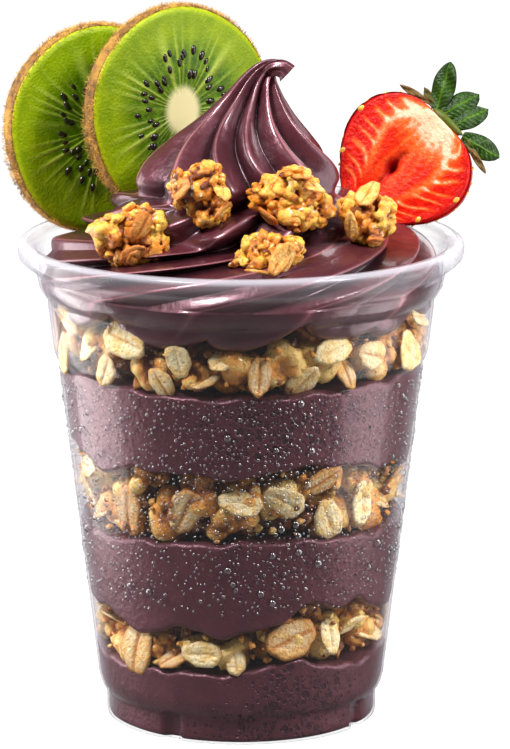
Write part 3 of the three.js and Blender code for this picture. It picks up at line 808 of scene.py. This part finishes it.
def make_cluster(node, seed, parts, finish, flakes_finish, stain=None):
    """A topping cluster that fills its CAD box: craggy lumps crusted with chips and oats."""
    rng = np.random.default_rng(seed)
    low, high = (np.array(corner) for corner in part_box(node))
    middle, half = (low + high) / 2, (high - low) / 2
    heap, oats = Heap(), Heap()
    for offset, size in parts:
        points, faces, hollow = nodule(rng, 4, bumps=110, spread=0.80, sizes=(0.10, 0.27))
        points = points @ turned(rng).T * size * half * 0.95
        centre = middle + np.array(offset) * half
        # Painted shade: the lump is darker in its hollows.
        shades = rng.uniform(-0.14, 0.02) + 0.75 * hollow
        if stain:
            away = np.linalg.norm((points + centre - middle) / half - np.array(stain), axis=1)
            shades = shades + 1.9 * bell(away + 0.12 * ripple(points / half, 0.3, 8), 0, 0.42)
        heap.add(points + centre, faces, shades)
        for _ in range(13):
            way = rng.normal(size=3)
            way /= np.linalg.norm(way)
            facing = (pointing(way) @ rotation(rng.normal() * 0.5, "X")
                      @ rotation(rng.uniform(0, 6), "Z"))
            chip, faces, hollow = nodule(rng, 2, bumps=7)
            chip = (chip * rng.uniform(0.0015, 0.0036)
                    * np.array((1, rng.uniform(0.6, 0.9), rng.uniform(0.35, 0.6))))
            out = way * size * half * rng.uniform(0.72, 0.86)
            # The chips also get painted shade in their hollows.
            heap.add(chip @ facing.T + centre + out, faces, rng.uniform(-0.3, 0.2) + 0.3 * hollow)
    for _ in range(3):
        way = rng.normal(size=3)
        way[1] = -abs(way[1]) - 0.4
        way /= np.linalg.norm(way)
        points, faces, shades = oat(rng, rng.uniform(0.006, 0.0085), rng.uniform(0.004, 0.0052))
        facing = (pointing(way * half) @ rotation(rng.normal() * 0.35, "X")
                  @ rotation(rng.uniform(0, 3), "Z"))
        oats.add(points @ facing.T + middle + way * half * 0.80, faces,
                 rng.uniform(0.0, 0.5) + shades)
    place(heap.build(node + "_lumps", finish), "granola", node)
    place(oats.build(node + "_oats", flakes_finish), "granola")


# ---- swirl


def fold(phase):
    """0 on a ridge, 1 in a crease, with the ridge leaning to one side."""
    leaning = phase + 0.5 * np.sin(phase)
    return 1 - np.abs(np.cos(leaning / 2)) ** 0.85


def back_clearance(turn, height):
    """How far the swirl draws back above the rim, to leave room for the kiwi slices."""
    away = np.abs(degrees_from(turn, 180))
    return BACK_CLEARANCE * fall(away, 31.2, 52) * smoothstep(height, 0.0975, 0.1005)


def swirl_underside(turn):
    """The swirl's lower edge at the wall: rounded lobes that meet in notches."""
    lowest = np.full(np.shape(turn), SWIRL_UNDERSIDE)
    for middle, tip, reach in WALL_LOBES:
        away = np.abs(degrees_from(turn, middle)) / reach
        lowest = np.minimum(lowest, tip + (SWIRL_UNDERSIDE - tip) * away ** 2.4)
    return lowest


def make_swirl(finish):
    column = around(LOBES * LOBE_COLUMNS)
    phase = LOBES * column
    lobe = np.floor(phase / (2 * math.pi) + 0.5) % LOBES
    faint = np.array(FAINT_FOLDS)[(np.floor(phase / (2 * math.pi)) % LOBES).astype(int)]
    rows, marks = [], {"crest_highlight": [], "crease": []}

    def add(turn, radius, height, depth, lean=0.0, tilt=0.0, crest_highlight=1.0):
        tier = smoothstep(height, 0.1005, 0.1045) * fall(height, 0.1100, 0.1150)
        folded = fold(phase) * (1 + (faint - 1) * tier) * (1 + 0.5 * tier)
        reach = radius - 1.25 * depth * folded - back_clearance(turn, height)
        sideways = reach * np.sin(turn)
        rows.append(np.stack((lean + sideways * math.cos(tilt), -reach * np.cos(turn),
                              height - sideways * math.sin(tilt)), -1))
        # A painted highlight line along each ridge, and painted shade in each crease.
        ridge = bell(np.sin(phase / 2), 0.0, 0.09)
        marks["crest_highlight"].append(crest_highlight * ridge * (0.6 + 0.3 * np.sin(lobe * 1.7)))
        marks["crease"].append(smoothstep(folded, 0.35, 1.0) * min(1, depth / 0.002))

    first_turn, second_turn = (math.radians(ring[2]) for ring in SWIRL[:2])
    first_height = SWIRL[0][1]
    steep = (second_turn - first_turn) / (SWIRL[1][1] - first_height) * 0.5
    turn = column + first_turn
    under = swirl_underside(turn)
    for share in (0, 0.4, 0.7, 0.85):
        inward = share * (fill_radius(under) - 0.003)
        rows.append(on_turn(np.maximum(inward, 1e-9), turn, under + 0.0015))
        # The underside inside the cup gets no highlight and the full painted crease shade.
        marks["crest_highlight"].append(np.zeros(column.shape))
        marks["crease"].append(np.ones(column.shape))
    rounding = 0.0026
    for step in range(WALL_ROWS):
        share = (step / WALL_ROWS) ** 1.2
        height = under + (first_height - under) * share
        here = turn - steep * (first_height - height) * 0.35
        add(here, fill_radius(height) - rounded(height - under, rounding), height,
            0.0004 + 0.0005 * share, crest_highlight=share)
    count = (len(SWIRL) - 1) * RING_ROWS
    for radius, height, wind, depth, lean, tilt in spline(SWIRL, np.arange(count + 1) / count):
        spread = smoothstep(height, 0.099, 0.106) * fall(height, 0.125, 0.140)
        wobble = 0.07 * np.sin(2 * column + 1.3) + 0.05 * np.sin(3 * column + height * 90)
        lift = 0.0010 * np.sin(2 * column + 2.2) * fall(height, 0.112, 0.118)
        add(column + math.radians(wind) + spread * wobble, radius, height + spread * lift,
            max(depth, 0), lean, math.radians(tilt))
    rows[-1] = np.broadcast_to(rows[-1].mean(0), rows[-1].shape)
    marks = {mark: np.array(values) for mark, values in marks.items()}
    place(wrap(rows, "acai_soft_serve", finish, marks), "acai", "acai_swirl")


# ---- condensation


def bead(spokes):
    """A low rounded bead of water, 1 in radius, that sits on the wall at its own z = 0."""
    angle = around(spokes)
    profile = ((1.0, -0.10), (0.97, 0.16), (0.66, 0.52), (0.0001, 0.68))
    rings = [np.stack((r * np.cos(angle), r * np.sin(angle), np.full(spokes, h)), -1)
             for r, h in profile]
    return np.concatenate(rings), grid_faces(len(profile), spokes)


def make_drops(finish):
    """Condensation: many fine beads and some larger ones, denser at the front."""
    rng = np.random.default_rng(71)
    fine, large = Heap(), Heap()
    fine_bead, large_bead = bead(6), bead(12)
    tries = 7200
    taken = np.full((tries, 4), -1.0)
    for attempt in range(tries):
        size = 0.00021 + 0.00018 * rng.random() ** 1.3 + 0.00060 * rng.random() ** 16
        turn = rng.uniform(-math.pi, math.pi)
        if rng.random() > 0.62 + 0.38 * math.cos(turn):
            continue
        height = 0.030 + 0.049 * rng.random() ** 0.8
        here = on_turn(outside_radius(height), turn, height)
        if (np.linalg.norm(taken[:, :3] - here, axis=1) < taken[:, 3] + size + 0.0001).any():
            continue
        taken[attempt] = (*here, size)
        heap, (points, faces) = (large, large_bead) if size > 0.00042 else (fine, fine_bead)
        stretch = np.array((1, rng.uniform(1.0, 1.2), 1))
        heap.add(points * stretch * size @ wall_frame(turn) + here, faces)
    place(fine.build("condensation_fine", finish), "clear_plastic")
    place(large.build("condensation_beads", finish), "clear_plastic")


# ---- kiwi


def make_kiwi(node, flesh, rind, seed_look, hair):
    radius, centre, turns = KIWIS[node]
    where = placed(centre, *turns)
    rng = np.random.default_rng(len(node))
    half = KIWI_THICKNESS / 2
    angle = around(240)
    outline = radius * (1 + 0.012 * np.sin(3 * angle + 0.5) + 0.008 * np.sin(5 * angle))

    def ring(reach, y):
        return np.stack((reach * np.cos(angle), np.broadcast_to(y, angle.shape),
                         reach * np.sin(angle)), -1)

    unevenly = 38 * angle / (2 * math.pi) + 0.35 * np.sin(5 * angle) + 0.25 * np.sin(11 * angle + 1)
    rays = bell(unevenly % 1, 0.5, 0.16) * (0.6 + 0.4 * np.sin(7 * angle + 2))
    rings, marks = [], {"share": [], "ray": [], "core": []}
    for share, side in ([(share, -1) for share in np.linspace(0, 0.99, 46)]
                        + [(share, 1) for share in np.linspace(0.99, 0, 24)]):
        reach = max(share, 1e-6) * outline
        from_middle = np.hypot(reach * np.cos(angle) / 0.0046, reach * np.sin(angle) / 0.0057)
        core = fall(from_middle, 0.72, 1.16)
        dome = 0.0004 * bell(share, 0.45, 0.2) - 0.0005 * smoothstep(share, 0.93, 1.0)
        rings.append(ring(reach, side * (half - 0.0003 + dome + 0.00035 * core)))
        strength = smoothstep(share, 0.16, 0.24) * fall(share, 0.5, 0.97)
        for mark, value in (("share", share), ("ray", rays * strength), ("core", core)):
            marks[mark].append(np.broadcast_to(value, angle.shape))
    place(wrap(rings, node + "_flesh", flesh, marks, where), "kiwi", node)

    rings = []
    for across in np.linspace(-1, 1, 15):
        bulge = 0.0003 * (1 - across ** 2) - 0.0001
        rings.append(ring(outline + bulge + 0.00007 * np.sin(37 * angle + 5 * across),
                          across * (half - 0.0008)))
    rings += [ring(outline * 0.98, across * (half - 0.0010)) for across in np.linspace(1, -1, 5)]
    place(wrap(rings + rings[:1], node + "_rind", rind, where=where), "kiwi")

    seeds = Heap()
    points, faces = BALLS[2]
    count = 58
    for side in (-1, 1):
        for number in range(count):
            way = (number + rng.uniform(0, 1.4)) * 2 * math.pi / count
            share = rng.uniform(0.34, 0.56)
            grown = points * np.array((0.00105, 0.00045, 0.00062)) * rng.uniform(0.85, 1.2)
            middle = (share * radius * 0.92 * math.cos(way), side * (half - 0.0001),
                      share * radius * 1.06 * math.sin(way))
            seeds.add(grown @ rotation(-way + rng.normal() * 0.12, "Y").T + middle, faces)
    place(seeds.build(node + "_seeds", seed_look, where), "kiwi")

    hairs = Heap()
    foot_angle = around(3)[:, None]
    through = np.array((0, 1, 0))
    for _ in range(5200):
        way = rng.uniform(0, 2 * math.pi)
        outward = np.array((math.cos(way), 0, math.sin(way)))
        along = np.array((-math.sin(way), 0, math.cos(way)))
        root = outward * (radius - 0.0002) + through * rng.uniform(-half, half) * 0.9
        tip = root + outward * rng.uniform(0.0005, 0.0012)
        tip = tip + along * rng.normal() * 0.0005 + through * rng.normal() * 0.0004
        foot = root + HAIR_RADIUS * (np.cos(foot_angle) * along + np.sin(foot_angle) * through)
        hairs.add(np.vstack((foot, tip)), [(0, 1, 3), (1, 2, 3), (2, 0, 3)])
    place(hairs.build(node + "_hairs", hair, where), "kiwi")


# ---- strawberry


def berry_radius(share):
    """The berry's radius at a share of its length, from its tip to its leaves."""
    shoulder = np.sqrt(np.maximum(0, 1 - np.maximum(0, (share - 0.62) / 0.38) ** 2))
    return (BERRY_RADIUS * np.sin(np.minimum(share / 0.62, 1) * math.pi / 2) ** 0.72
            * (0.3 + 0.7 * shoulder))


def make_cut_face(where, finish):
    """The cut face, with its slit, pale arms and crown, veins and fibres."""
    rows, columns = 110, 121
    share = np.linspace(0, 1, rows)[:, None]
    across = np.linspace(-1, 1, columns)[None]
    x = across * berry_radius(share) * 0.999
    z = (share - 0.5) * BERRY_LENGTH + 0 * across
    side = np.abs(across - 0.04 * np.sin(5 * share))
    slit_line = across - 0.05 * np.sin(7 * share + 1)
    seed_hole = bell(slit_line, 0.0, 0.075) * bell(share, 0.47, 0.05)
    slit = (bell(slit_line, 0.0, 0.05) * smoothstep(share, 0.10, 0.25)
            * fall(share, 0.56, 0.68))
    edge = smoothstep(np.abs(across), 0.93, 1.0) + smoothstep(share, 0.985, 1.0) * 0.3
    y = (0.0012 * edge + 0.0009 * slit + 0.0026 * seed_hole
         - 0.0005 * bell(np.abs(across), 0.4, 0.25) + 0 * z)
    arm_place = 0.36 + 0.16 * smoothstep(share, 0.2, 0.75) - 0.2 * smoothstep(share, 0.78, 1.0)
    arms = bell(side, arm_place, 0.075) * smoothstep(share, 0.12, 0.60)
    crown = smoothstep(share, 0.62, 0.98) * (1 - 0.9 * smoothstep(side, 0.35, 0.9))
    ragged = 0.25 * np.sin(9 * across + 3) + 0.15 * np.sin(23 * share)
    line = ((share * BERRY_LENGTH - (side - arm_place) * 0.0052) / 0.0030 + ragged) % 1
    veins = (bell(line, 0.5, 0.17) * smoothstep(side, arm_place - 0.02, arm_place + 0.06)
             * fall(side, 0.70, 0.97))
    fibres = (bell((side * 7 + 2 * share) % 1, 0.5, 0.2) * fall(side, 0.25, 0.4)
              * smoothstep(share, 0.1, 0.5))
    heart = 0.30 * bell(across, 0, 0.34) * smoothstep(share, 0.12, 0.4)
    pale = 0.62 * arms + 1.05 * crown + 0.72 * veins + heart + 0.16 * fibres
    # Painted shade in the recessed seed hollow and slit, plus the deeper red near the skin.
    deeper_red_and_shade = 1.3 * seed_hole + 0.7 * slit + 0.55 * smoothstep(np.abs(across), 0.72, 1.0)
    marks = {"pale": np.clip(pale, 0, 1.25), "deeper_red_and_shade": np.clip(deeper_red_and_shade, 0, 1)}
    face = build("strawberry_cut_face", np.stack((x, y, z), -1), grid_faces(rows, columns, False),
                 finish, marks, where)
    place(face, "strawberry", "strawberry_half")


def make_berry_skin(where, finish, achene_look):
    """The skin's half round, dented where its seeds sit, and the seeds themselves."""
    rng = np.random.default_rng(5)
    rows, columns = 90, 150
    share = np.linspace(0, 1, rows)[:, None]
    angle = np.linspace(-math.pi / 2, math.pi / 2, columns)[None]
    points = np.stack((berry_radius(share) * np.sin(angle),
                       berry_radius(share) * np.cos(angle) + SKIN_SET_BACK,
                       (share - 0.5) * BERRY_LENGTH + 0 * angle), -1)
    seeds_at = []
    for ring in np.arange(0.07, 0.95, 0.075):
        count = max(2, int(berry_radius(ring) * math.pi / 0.0031))
        for i in range(count):
            shift = (i + 0.5 * (int(ring / 0.075) % 2) + rng.normal() * 0.12) / count
            seeds_at.append((ring + rng.normal() * 0.008, (shift - 0.5) * math.pi * 0.97))
    pits = np.zeros(points.shape[:2])
    achenes = Heap()
    ball_points, ball_faces = BALLS[2]
    for ring, way in seeds_at:
        reach = berry_radius(ring)
        outward = np.array((math.sin(way), math.cos(way), 0))
        middle = outward * reach + (0, SKIN_SET_BACK, (ring - 0.5) * BERRY_LENGTH)
        pits += bell(np.linalg.norm(points - middle, axis=2), 0, 0.0008)
        grain = ball_points * (0.0003, 0.00042, 0.00068) @ pointing(outward, "X", "Z").T
        achenes.add(grain + middle - outward * 0.00022, ball_faces)
    # pits: how deep each seed dent goes, and the painted shade in it.
    pits = np.clip(pits, 0, 1)
    outward = np.stack(np.broadcast_arrays(np.sin(angle), np.cos(angle), 0 * share), -1)
    points = points - outward * 0.00045 * pits[..., None]
    # The calyx end is still wide, so a last row closes it to its middle.
    closing = points[-1:] * (0, 0, 1) + (0, SKIN_SET_BACK, 0)
    points, pits = np.concatenate((points, closing)), np.concatenate((pits, pits[-1:] * 0))
    place(build("strawberry_skin", points, grid_faces(rows + 1, columns, False), finish,
                {"pit_shade": pits}, where), "strawberry")
    for way, ring in ((0.93, 0.66), (0.9, 0.35), (-0.93, 0.30), (-0.95, 0.62)):
        middle = (way * berry_radius(ring), 0.0002, (ring - 0.5) * BERRY_LENGTH)
        achenes.add(ball_points * (0.0006, 0.0004, 0.0009) + middle, ball_faces)
    place(achenes.build("strawberry_achenes", achene_look, where), "strawberry")


def make_leaves(where, finish):
    """Pointed, veined sepals fanned over the berry's top, and the short stub they grow from."""
    heap = Heap("vein", "dry")
    rows, columns = 26, 15
    along = np.linspace(0, 1, rows)[:, None]
    across = np.linspace(-1, 1, columns)[None]
    sheet_faces = grid_faces(rows, columns, False)
    for place_x, length, width, bend, fan, dryness in LEAVES:
        outline = np.sin(math.pi * np.clip(0.10 + 0.90 * along ** 1.15, 0, 1)) ** 0.6 + 0.02
        angle = math.radians(bend) * along
        keel = 0.10 * width * across ** 2 + 0.00025 * np.sin(12 * along + 3 * across)
        front = np.stack((across * outline * width / 2,
                          length * along * np.sin(angle) + keel * np.cos(angle),
                          length * along * np.cos(angle) - keel * np.sin(angle)), -1)
        side_line = ((along * length - np.abs(across) * width * 0.30) / 0.0011) % 1
        side_veins = bell(side_line, 0.5, 0.13) * fall(np.abs(across), 0.75, 1.0)
        vein = np.clip(bell(across, 0, 0.10) + 0.55 * side_veins, 0, 1).ravel()
        for lift, faces in ((-0.00016, sheet_faces), (0.00016, sheet_faces[:, ::-1])):
            sheet = front.copy()
            sheet[..., 1] += lift * (1 - np.abs(across) ** 6)
            fanned = sheet.reshape(-1, 3) @ rotation(math.radians(fan), "Y").T
            heap.add(fanned + (place_x, CALYX_SET_BACK, CALYX_SEAT), faces, vein, dryness)
    points, faces = BALLS[3]
    stub = points * (0.0044, 0.0012, 0.0010) * (1 + 0.12 * ripple(points, 0.6, 9))[:, None]
    heap.add(stub + (0.0006, CALYX_SET_BACK, CALYX_SEAT), faces, 0.7,
             np.clip(0.35 + 0.35 * ripple(points, 0.3, 4), 0, 1))
    place(heap.build("strawberry_leaves", finish, where), "leaf", "strawberry_calyx")


# ---- studio


def softbox(name, at, towards, width, height, power):
    lamp = bpy.data.lights.new(name, "AREA")
    lamp.shape = "RECTANGLE"
    lamp.size, lamp.size_y = width, height
    lamp.energy = power
    holder = bpy.data.objects.new(name, lamp)
    holder.visible_camera = False
    holder.location = at
    holder.rotation_euler = (Vector(towards) - Vector(at)).to_track_quat("-Z", "Y").to_euler()
    bpy.context.scene.collection.objects.link(holder)


def make_world():
    """White behind the object, and only a faint glow on it."""
    world = bpy.data.worlds.new("studio")
    bpy.context.scene.world = world
    world.use_nodes = True
    tree = world.node_tree
    seen, glow = tree.nodes["Background"], tree.nodes.new("ShaderNodeBackground")
    for background, strength in ((seen, 1.2), (glow, 0.10)):
        background.inputs["Color"].default_value = (1, 1, 1, 1)
        background.inputs["Strength"].default_value = strength
    ray = tree.nodes.new("ShaderNodeLightPath")
    choose = tree.nodes.new("ShaderNodeMixShader")
    tree.links.new(ray.outputs["Is Camera Ray"], choose.inputs[0])
    tree.links.new(glow.outputs[0], choose.inputs[1])
    tree.links.new(seen.outputs[0], choose.inputs[2])
    tree.links.new(choose.outputs[0], tree.nodes["World Output"].inputs["Surface"])


def make_camera():
    """The photo's view: 1.2 m away, 12.2 degrees above the cup."""
    elevation, distance = math.radians(12.202), 1.2
    target = Vector((0.003072, 0, 0.076314))
    camera = bpy.data.objects.new("camera", bpy.data.cameras.new("camera"))
    camera.data.sensor_width = 36
    camera.data.lens = 261.55
    camera.data.clip_start, camera.data.clip_end = 0.05, 20
    camera.location = target + Vector((0, -math.cos(elevation), math.sin(elevation))) * distance
    camera.rotation_euler = (math.pi / 2 - elevation, 0, 0)
    bpy.context.scene.collection.objects.link(camera)
    bpy.context.scene.camera = camera
    bpy.context.scene.view_settings.view_transform = "Standard"


def make_studio():
    half_floor, posts = 3.0, 9
    x, y = np.meshgrid(*[np.linspace(-half_floor, half_floor, posts)] * 2)
    floor = build("studio_floor", np.stack((x, y, 0 * x), -1), grid_faces(posts, posts, False),
                  floor_finish())
    make_world()
    wall, aim = (0, 0, 0.10), (0, 0, 0.09)
    softbox("strip_left", (-0.135, 0.020, 0.10), wall, 0.110, 0.20, 0.35)
    softbox("strip_right", (0.138, -0.024, 0.10), wall, 0.090, 0.20, 0.19)
    softbox("softbox_key", (-0.30, -0.28, 0.72), aim, 0.18, 0.18, 8.5)
    softbox("softbox_right", (0.42, -0.26, 0.56), aim, 0.13, 0.20, 3.8)
    softbox("softbox_back", (0.1, 0.7, 0.5), aim, 0.8, 0.5, 4.5)
    make_camera()


# ---- the object

make_studio()
make_cup()

wall_look = acai_wall()
for layer, (bottom, top, airy) in ACAI_LAYERS.items():
    make_acai_layer(f"acai_layer_{layer}", f"acai_{layer}", bottom, top, airy, wall_look)

lumps_look = granola_finish("granola_lumps", tint(255, 212, 120), tint(242, 158, 54),
                            tint(130, 66, 16), 0.36)
oat_look = flake_finish("oat_flake", tint(255, 238, 190), tint(250, 212, 136), tint(188, 118, 42))
# The cores are coloured dark brown as painted shade seen through the gaps between the lumps.
core_shade_look = patchy_finish("granola_core_finish", (0.004, 3, 0.4, 0.65), tint(58, 44, 34),
                          tint(120, 78, 40), (0.003, 4, 0.002), Roughness=0.7)
for layer, bottom, top, seed in (
        ("low", lambda t: level(BASE_TOP, t), lambda t: level(MIDDLE_BOTTOM, t), 21),
        ("middle", lambda t: level(MIDDLE_TOP, t), lambda t: level(UPPER_BOTTOM, t), 22),
        ("upper", lambda t: level(UPPER_TOP, t), lambda t: swirl_underside(t) + 0.001, 23)):
    make_granola(layer, bottom, top, seed, lumps_look, oat_look, core_shade_look)

make_swirl(acai_swirl_finish())
make_drops(drop_finish())

cluster_look = granola_finish("granola_cluster", tint(255, 200, 78), tint(244, 144, 32),
                              tint(122, 52, 4), 0.24)
glazed_oat_look = flake_finish("glazed_oat", tint(254, 206, 122), tint(240, 170, 70),
                               tint(184, 98, 24))
for number, parts in enumerate(CLUSTERS, 1):
    make_cluster(f"granola_cluster_{number}", 39 + number, parts, cluster_look, glazed_oat_look,
                 STAIN if number == STAINED_CLUSTER else None)

kiwi_looks = (
    kiwi_flesh_finish(), kiwi_rind_finish(),
    patchy_finish("kiwi_seed", (0.0006, 3, 0.4, 0.7), tint(16, 14, 8), tint(44, 30, 16),
                  Roughness=0.25, Specular_IOR_Level=0.6),
    patchy_finish("kiwi_hair", (0.002, 3, 0.4, 0.6), tint(210, 156, 62), tint(128, 84, 26),
                  Roughness=0.7))
for node in KIWIS:
    make_kiwi(node, *kiwi_looks)

berry_place = placed(BERRY_PLACE, *BERRY_TURNS)
make_cut_face(berry_place, berry_cut_finish())
make_berry_skin(berry_place, berry_skin_finish(),
                patchy_finish("strawberry_achene", (0.001, 3, 0.4, 0.6), tint(238, 190, 70),
                              tint(206, 140, 40), Roughness=0.35))
make_leaves(berry_place, leaf_finish())
